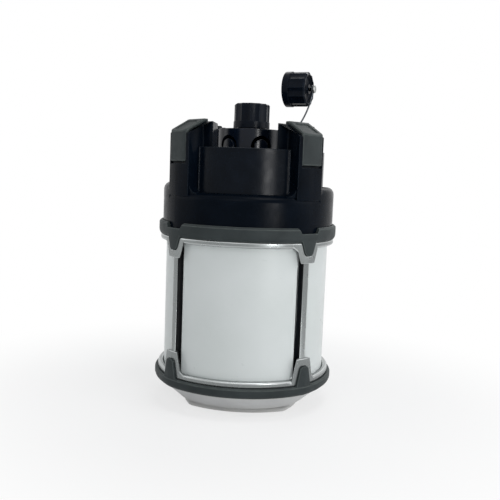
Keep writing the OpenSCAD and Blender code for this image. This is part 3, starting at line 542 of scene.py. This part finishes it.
# Inner frame and crown floor: black ABS plates with a liner post in each corner, which shows as
# the dark slot beside each light panel. Moulded plain, with a dull skin.
inner_abs = moulded("inner_black_abs", "#070a0e", "#0c1015", rough=0.5, grit_mm=0.6, relief=0.05, gloss=0.05)
dress(inner_abs, "chassis", "crown_floor")


# Light engine: a bare extruded aluminium core, half bright, with four lamp boards screwed to it.
# The boards have a white mask, printed and slightly glossy.
bare_aluminium = metal("extruded_aluminium", "#a9abad", "#c0c2c4", rough=0.35, cloud_mm=3.0)
dress(bare_aluminium, "light_core")
white_mask = moulded("white_solder_mask", "#d9d8d2", "#e6e5df", rough=0.4, grit_mm=0.8, relief=0.03)
dress(white_mask, "lamp_board_front", "lamp_board_right", "lamp_board_rear", "lamp_board_left")


# Battery: four lithium cells, each in a blue shrink sleeve with a slight gloss. Black moulded ABS
# holders clip over both ends of the pack, inside the aluminium core.
sleeve_film = moulded("blue_shrink_sleeve", "#214a86", "#2b5a9c", rough=0.3, grit_mm=2.0, relief=0.03)
dress(sleeve_film, "battery_cells")
dress(inner_abs, "cell_holder_lower", "cell_holder_upper")


# Driver board: glass-fibre laminate under a printed green mask with a half gloss, carrying an
# inductor and capacitors. It stands on pillars of the crown floor and takes in charge from the ports.
green_mask = moulded("green_solder_mask", "#1d4a2a", "#275f36", rough=0.35, grit_mm=0.8, relief=0.03)
dress(green_mask, "driver_board")


# Crown: blue-black glass-filled nylon, one large moulding with a spark-eroded grain and a broad,
# very dull sheen. It drops over the inner frame, and its tabs sit in the upper bumper's notches.
CROWN_EDGE = 0.0004
# Its rounded edges are mixed towards a lighter blue-grey, partly wear and partly a painted highlight.
crown_nylon = moulded(
    "blue_black_nylon",
    "#02060d",
    "#060d16",
    rough=0.26,
    grit_mm=0.45,
    relief=0.08,
    gloss=0.032,
    wear_and_highlight="#141b23",
)
softened("crown_housing", CROWN_EDGE, crown_nylon)


# Wall panels: four curved mouldings of the same nylon with a rib at each edge, slid down between
# the towers. They are polished a little more, so a mottled satin sheen shows.
WALL_PANEL_EDGE = 0.00035
# Their rounded edges, the ribs' too, are mixed towards a lighter grey in patches, partly wear and partly a
# painted highlight along the ribs.
panel_nylon = moulded(
    "satin_black_nylon",
    "#02070f",
    "#070e17",
    rough=0.25,
    grit_mm=0.6,
    relief=0.05,
    cloud_mm=9,
    gloss=0.08,
    wear_and_highlight="#20262d",
)
for side in ("front", "right", "rear", "left"):
    softened("panel_" + side, WALL_PANEL_EDGE, panel_nylon)


# Tower pads: grey rubber folded over each tower's face, slope and top, glued into a pocket. The
# outer edges are well rounded, and a shallow panel is pressed into each slope.
PAD_RADIUS = 0.001
PRESSED_RADIUS = 0.0002
PRESSED_WALL_AREA = 0.00001
GLUED_FACING = -0.3


def pressed(edge):
    """Whether an edge belongs to the narrow walls of the pressed panel."""
    return any(face.calc_area() < PRESSED_WALL_AREA for face in edge.link_faces)


def glued(edge, outward):
    """Whether an edge bounds a side that faces the tower."""
    return any(face.normal.dot(outward) < GLUED_FACING for face in edge.link_faces)


for corner in ("front_right", "rear_right", "rear_left", "front_left"):
    node = "pad_" + corner
    low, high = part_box(node)
    outward = Vector((low.x + high.x, low.y + high.y, 0)).normalized()
    shape = merged_copy(node)
    round_edges(shape, PRESSED_RADIUS, segments=2, chosen=pressed)
    round_edges(
        shape, PAD_RADIUS, segments=4, chosen=lambda edge: not pressed(edge) and not glued(edge, outward)
    )
    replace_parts(joined(node + "_soft", shape, grey_rubber, node), node)


# Turret: black nylon, moulded glossy, so that it shows narrow highlights. It is a ring wall in
# which arched slots leave snap tongues, round the neck of the middle port. That neck and the open
# side neck have a round screw thread.
NECK_EDGE = 0.0003
gloss_nylon = moulded(
    "glossy_black_nylon", "#050c16", "#0b1421", rough=0.2, grit_mm=0.8, relief=0.02, gloss=0.2
)
softened("turret", NECK_EDGE, gloss_nylon)
softened("side_neck", NECK_EDGE, gloss_nylon)

THREAD_PITCH = 0.003
THREAD_STEPS = 48
RIDGE_RADIUS = 0.00045
RIDGE_SIDES = 8
RIDGE_SINK = 0.0002
NECK_RADIUS = 0.00945
TURRET_THREAD = 0.0066
SIDE_THREAD = 0.005
THREAD_BELOW_RIM = 0.0018


def screw_thread(name, axis_r, height, place, finish, node):
    """A round ridge wound up the axis of a place, at a radius."""
    steps = round(height / THREAD_PITCH * THREAD_STEPS)
    shape = bmesh.new()
    upright = Matrix.Translation((axis_r, 0, 0)) @ Matrix.Rotation(QUARTER_TURN, 4, "X")
    bmesh.ops.create_circle(shape, segments=RIDGE_SIDES, radius=RIDGE_RADIUS, matrix=upright)
    bmesh.ops.spin(
        shape,
        geom=shape.verts[:] + shape.edges[:],
        cent=(0, 0, 0),
        axis=(0, 0, 1),
        dvec=(0, 0, THREAD_PITCH / THREAD_STEPS),
        angle=2 * math.pi * steps / THREAD_STEPS,
        steps=steps,
    )
    bmesh.ops.holes_fill(shape, edges=shape.edges, sides=RIDGE_SIDES)
    bmesh.ops.recalc_face_normals(shape, faces=shape.faces)
    bmesh.ops.transform(shape, matrix=place, verts=shape.verts)
    return joined(name, shape, finish, node)


neck_ridge_r = NECK_RADIUS - RIDGE_SINK
for node, height in (("turret", TURRET_THREAD), ("side_neck", SIDE_THREAD)):
    low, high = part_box(node)
    foot = Vector(((low.x + high.x) / 2, (low.y + high.y) / 2, high.z - THREAD_BELOW_RIM - height))
    screw_thread(node + "_thread", neck_ridge_r, height, Matrix.Translation(foot), gloss_nylon, node)


# Sockets: brass contacts with a centre pin, turned on a lathe and pressed into the two necks. Bare
# brass shows warm and half bright at the bottom of the open neck.
SOCKET_EDGE = 0.0002
brass = metal("turned_brass", "#a8843c", "#c29a4d", rough=0.28, cloud_mm=1.2)
softened("port_socket", SOCKET_EDGE, brass)
softened("side_socket", SOCKET_EDGE, brass)


# Screw caps: blue-black polypropylene, moulded with twelve slightly hollow grip facets and a round
# rim, waxy to the touch and the eye. A ring of dull black seal rubber lies in each.
# Their rounded edges are mixed towards a lighter blue-grey, partly wear and partly a painted highlight.
cap_plastic = moulded(
    "waxy_black_plastic",
    "#050a12",
    "#0b121c",
    rough=0.28,
    grit_mm=0.7,
    relief=0.04,
    cloud_mm=8,
    gloss=0.065,
    wear_and_highlight="#131b25",
)
CAP_FACETS = 12
FACET_STEPS = 6
GRIP_RADIUS = 0.01245
FLUTE_DEPTH = 0.0005
RIM_HEIGHT = 0.0046
TOP_EDGE = 0.0009
DISH_RADIUS = 0.01
DISH_DEPTH = 0.0026
BOSS_RADIUS = 0.0035
BORE_RADIUS = 0.00975
BORE_DEPTH = 0.0121
RIVET_HOLE_RADIUS = 0.00148
CAP_EDGE = 0.00022
CAP_THREAD = 0.006
CAP_THREAD_START = 0.0025
LOOSE_MOUTH = Vector((0.02299, 0.02616, 0.22368))
LOOSE_TURN = math.radians(-18)
low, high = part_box("port_cap")
cap_h = high.z - low.z
rim_r = (high.x - low.x) / 2
half_facet = math.pi / CAP_FACETS
on_port = Matrix.Translation((0, 0, low.z))
on_wire = (
    Matrix.Translation(LOOSE_MOUTH)
    @ Matrix.Rotation(LOOSE_TURN, 4, "Z")
    @ Matrix.Rotation(QUARTER_TURN, 4, "Y")
)
for node, place, hole_r in (("port_cap", on_port, 0.0), ("loose_cap", on_wire, RIVET_HOLE_RADIUS)):
    shape = bmesh.new()
    spoke = shape.verts.layers.float.new("spoke")
    bmesh.ops.create_circle(shape, segments=CAP_FACETS * FACET_STEPS, radius=rim_r)
    for vert in shape.verts:
        vert[spoke] = math.atan2(vert.co.y, vert.co.x)
    loop = shape.edges[:]
    for radius, z, faceted in (
        (rim_r, RIM_HEIGHT, False),
        (GRIP_RADIUS, RIM_HEIGHT, True),
        (GRIP_RADIUS, cap_h - TOP_EDGE, True),
        (GRIP_RADIUS - TOP_EDGE, cap_h, True),
        (DISH_RADIUS, cap_h, False),
        (DISH_RADIUS, cap_h - DISH_DEPTH, False),
        (BOSS_RADIUS, cap_h - DISH_DEPTH, False),
        (BOSS_RADIUS, cap_h, False),
        (hole_r, cap_h, False),
        (hole_r, BORE_DEPTH, False),
        (BORE_RADIUS, BORE_DEPTH, False),
        (BORE_RADIUS, 0, False),
        (rim_r, 0, False),
    ):
        wall = bmesh.ops.extrude_edge_only(shape, edges=loop)["geom"]
        loop = [item for item in wall if isinstance(item, bmesh.types.BMEdge) and item.is_boundary]
        for vert in {vert for edge in loop for vert in edge.verts}:
            angle = vert[spoke]
            from_flat = angle % (2 * half_facet) - half_facet
            hollow = FLUTE_DEPTH * (1 - (from_flat / half_facet) ** 2)
            reach = radius * math.cos(half_facet) / math.cos(from_flat) - hollow if faceted else radius
            vert.co = (reach * math.cos(angle), reach * math.sin(angle), z)
    bmesh.ops.remove_doubles(shape, verts=shape.verts, dist=SAME_POINT)
    bmesh.ops.delete(shape, geom=[edge for edge in shape.edges if edge.is_wire], context="EDGES")
    bmesh.ops.recalc_face_normals(shape, faces=shape.faces)
    round_edges(shape, CAP_EDGE, limit=25)
    bmesh.ops.transform(shape, matrix=place, verts=shape.verts)
    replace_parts(joined(node + "_moulded", shape, cap_plastic, node), node)

in_mouth = on_wire @ Matrix.Translation((0, 0, CAP_THREAD_START))
bore_ridge_r = BORE_RADIUS + RIDGE_SINK
screw_thread("loose_cap_thread", bore_ridge_r, CAP_THREAD, in_mouth, cap_plastic, "loose_cap")
seal_rubber = moulded(
    "black_seal_rubber", "#0e0f10", "#151718", rough=0.6, grit_mm=0.4, relief=0.08, gloss=0.3
)
dress(seal_rubber, "cap_seal", "loose_seal")


# Tether: drawn spring-steel wire, dark and half bright, with an eye bent at each end. One eye is
# held by a plated screw in the rear right tower, the other by a bright rivet in the loose cap.
spring_steel = metal("drawn_spring_steel", "#3a3e41", "#50555a", rough=0.35, cloud_mm=1.0)
wire = joined("tether_wire_soft", merged_copy("tether_wire"), spring_steel, "tether_wire")
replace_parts(wire, "tether_wire")

HEAD_HEIGHT = 0.0018
SHANK_RADIUS = 0.0015
HEX_RADIUS = 0.0015
HEX_DEPTH = 0.0012
HEAD_SIDES = 48
HEAD_EDGE = 0.00025
RIVET_EDGE = 0.0001
low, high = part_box("tether_screw")
head_r = (high.x - low.x) / 2
shape = bmesh.new()
head_rim = bmesh.ops.create_circle(shape, segments=HEAD_SIDES, radius=head_r)["verts"]
hexagon = bmesh.ops.create_circle(shape, segments=6, radius=HEX_RADIUS)["verts"]
bmesh.ops.bridge_loops(shape, edges=shape.edges[:])
for rim, depth in ((hexagon, HEX_DEPTH), (head_rim, HEAD_HEIGHT)):
    loop = [edge for edge in shape.edges if edge.is_boundary and all(vert in rim for vert in edge.verts)]
    walls = bmesh.ops.extrude_edge_only(shape, edges=loop)["geom"]
    ends = [item for item in walls if isinstance(item, bmesh.types.BMVert)]
    bmesh.ops.translate(shape, vec=(0, 0, -depth), verts=ends)
loop = [edge for edge in shape.edges if edge.is_boundary and edge.verts[0].co.z < -HEX_DEPTH - LEVEL_WITHIN]
for scale, drop in ((SHANK_RADIUS / head_r, 0), (1, high.y - low.y - HEAD_HEIGHT)):
    walls = bmesh.ops.extrude_edge_only(shape, edges=loop)["geom"]
    ends = [item for item in walls if isinstance(item, bmesh.types.BMVert)]
    bmesh.ops.scale(shape, vec=(scale, scale, 1), verts=ends)
    bmesh.ops.translate(shape, vec=(0, 0, -drop), verts=ends)
    loop = [item for item in walls if isinstance(item, bmesh.types.BMEdge) and item.is_boundary]
bmesh.ops.holes_fill(shape, edges=shape.edges, sides=HEAD_SIDES)
bmesh.ops.recalc_face_normals(shape, faces=shape.faces)
round_edges(shape, HEAD_EDGE, limit=50)
head_at = Vector(((low.x + high.x) / 2, low.y, (low.z + high.z) / 2))
facing = Matrix.Translation(head_at) @ Matrix.Rotation(QUARTER_TURN, 4, "X")
bmesh.ops.transform(shape, matrix=facing, verts=shape.verts)
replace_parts(joined("tether_screw_socket_head", shape, zinc_steel, "tether_screw"), "tether_screw")

bright_steel = metal("bright_rivet_steel", "#8b8d8d", "#a5a7a6", rough=0.26, cloud_mm=2.0)
softened("loose_rivet", RIVET_EDGE, bright_steel, limit=50)


# Power button: a cap of grey rubber with a dished face, moulded, held by its flange behind the
# rear low wall. The switch that it presses has a body of plain grey plastic.
BUTTON_RADIUS = 0.006
FLANGE_THICK = 0.0016
HOLLOW_DEPTH = 0.0005
HOLLOW_RADIUS = 0.0044
HOLLOW_BEND = (0.6, 0.8)
BUTTON_EDGE = 0.00045
BUTTON_STEPS = 64
low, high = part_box("power_button")
depth = high.y - low.y
flange_r = (high.x - low.x) / 2
outline = (
    (0, 0),
    (flange_r, 0),
    (flange_r, FLANGE_THICK),
    (BUTTON_RADIUS, FLANGE_THICK),
    (BUTTON_RADIUS, depth),
    (HOLLOW_RADIUS, depth),
    (HOLLOW_RADIUS * HOLLOW_BEND[0], depth - HOLLOW_DEPTH * HOLLOW_BEND[1]),
    (0, depth - HOLLOW_DEPTH),
)
shape = bmesh.new()
profile = [shape.verts.new((r, 0, z)) for r, z in outline]
path = [shape.edges.new(pair) for pair in zip(profile, profile[1:])]
bmesh.ops.spin(
    shape,
    geom=profile + path,
    cent=(0, 0, 0),
    axis=(0, 0, 1),
    angle=2 * math.pi,
    steps=BUTTON_STEPS,
    use_merge=True,
)
bmesh.ops.remove_doubles(shape, verts=shape.verts, dist=SAME_POINT)
bmesh.ops.recalc_face_normals(shape, faces=shape.faces)
round_edges(shape, BUTTON_EDGE, limit=35)
in_wall = Matrix.Translation((0, low.y, (low.z + high.z) / 2)) @ Matrix.Rotation(-QUARTER_TURN, 4, "X")
bmesh.ops.transform(shape, matrix=in_wall, verts=shape.verts)
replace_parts(joined("power_button_dished", shape, grey_rubber, "power_button"), "power_button")

switch_abs = moulded("grey_switch_body", "#6a6c6e", "#77797b", rough=0.45, grit_mm=0.6, relief=0.05)
dress(switch_abs, "power_switch")
